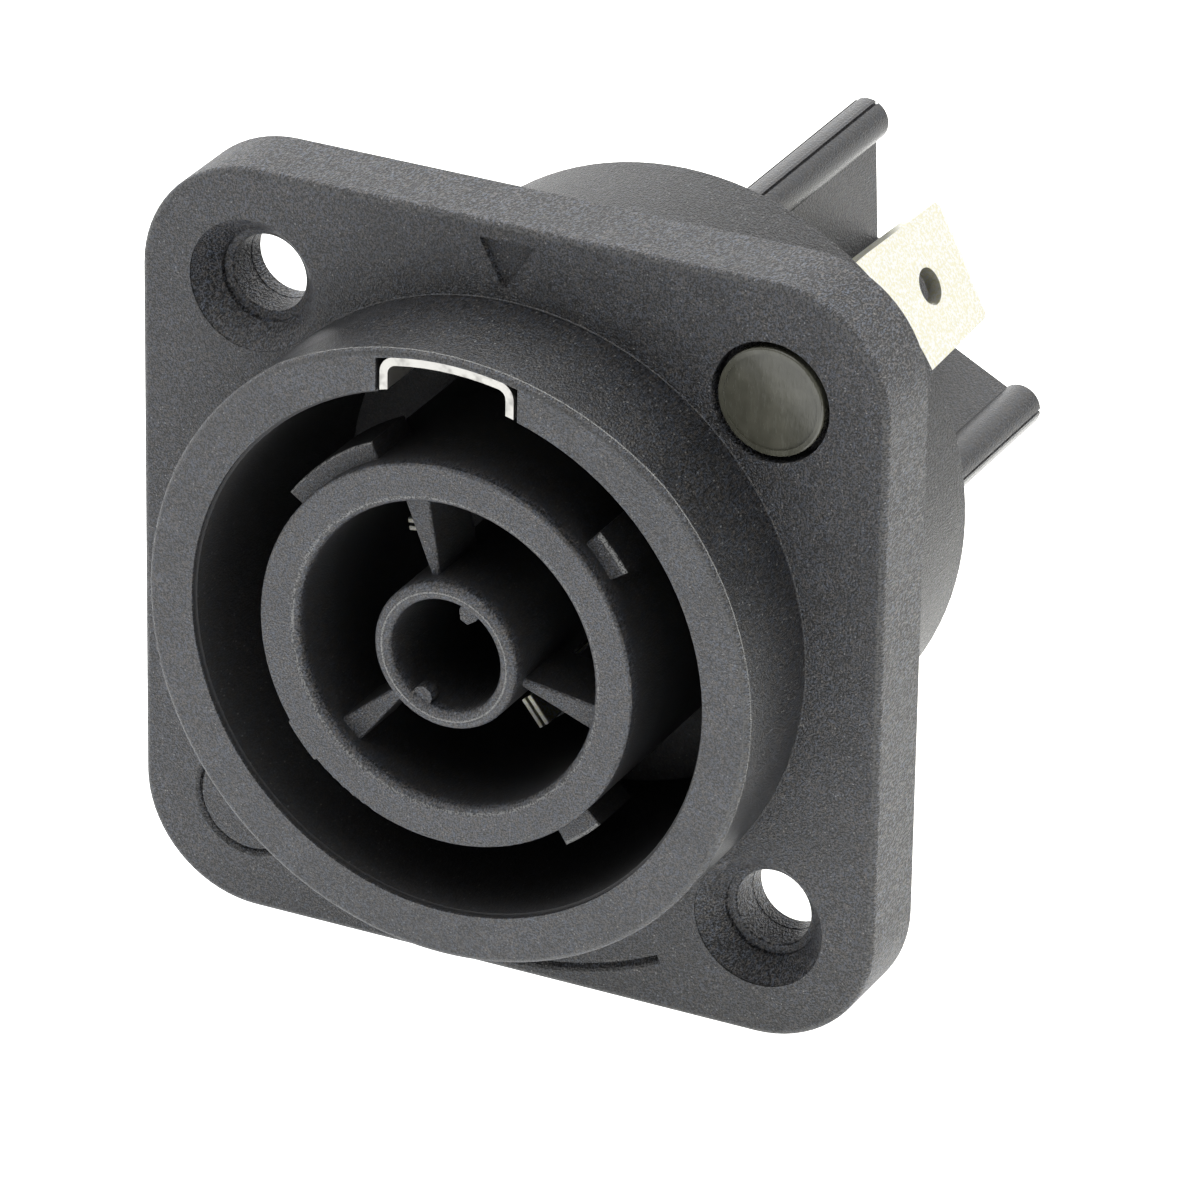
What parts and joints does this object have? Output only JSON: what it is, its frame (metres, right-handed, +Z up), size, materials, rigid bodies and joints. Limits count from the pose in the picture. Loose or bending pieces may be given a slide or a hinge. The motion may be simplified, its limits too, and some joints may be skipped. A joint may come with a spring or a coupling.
{
  "type": "chassis power outlet",
  "caption": "Square-flange panel power outlet with a round locking socket in front and a barrel, divider fins and blade tabs behind the panel.",
  "frame": {"origin": "on the socket axis, in the back face of the flange, which lies against the panel", "axes": "+Z up (the latch strike plate is at the top), +X to the right seen from the front, +Y out of the back of the panel, so the socket faces -Y"},
  "size_m": [0.038, 0.0456, 0.038],
  "materials": {
    "housing_plastic": "fine spark-eroded grain, charcoal",
    "carrier_plastic": "fine spark-eroded grain on the faces, charcoal",
    "cover_plastic": "smooth satin, charcoal",
    "nickel_plated_steel": "bright nickel plate with sheared edges",
    "marker_plastic": "glossy dark olive brown, bare",
    "plated_brass": "pale tin plate, warm where thin",
    "spring_steel": "satin spring steel"
  },
  "bodies": {
    "root": {"flange_housing": "housing_plastic", "contact_carrier": "carrier_plastic", "rear_cover": "cover_plastic", "latch_strike_plate": "nickel_plated_steel", "marker_disc": "marker_plastic", "line_terminal": "plated_brass", "neutral_terminal": "plated_brass", "earth_terminal": "plated_brass", "line_contact_clip": "spring_steel", "neutral_contact_clip": "spring_steel", "earth_contact_clip": "spring_steel"}
  },
  "joints": []
}
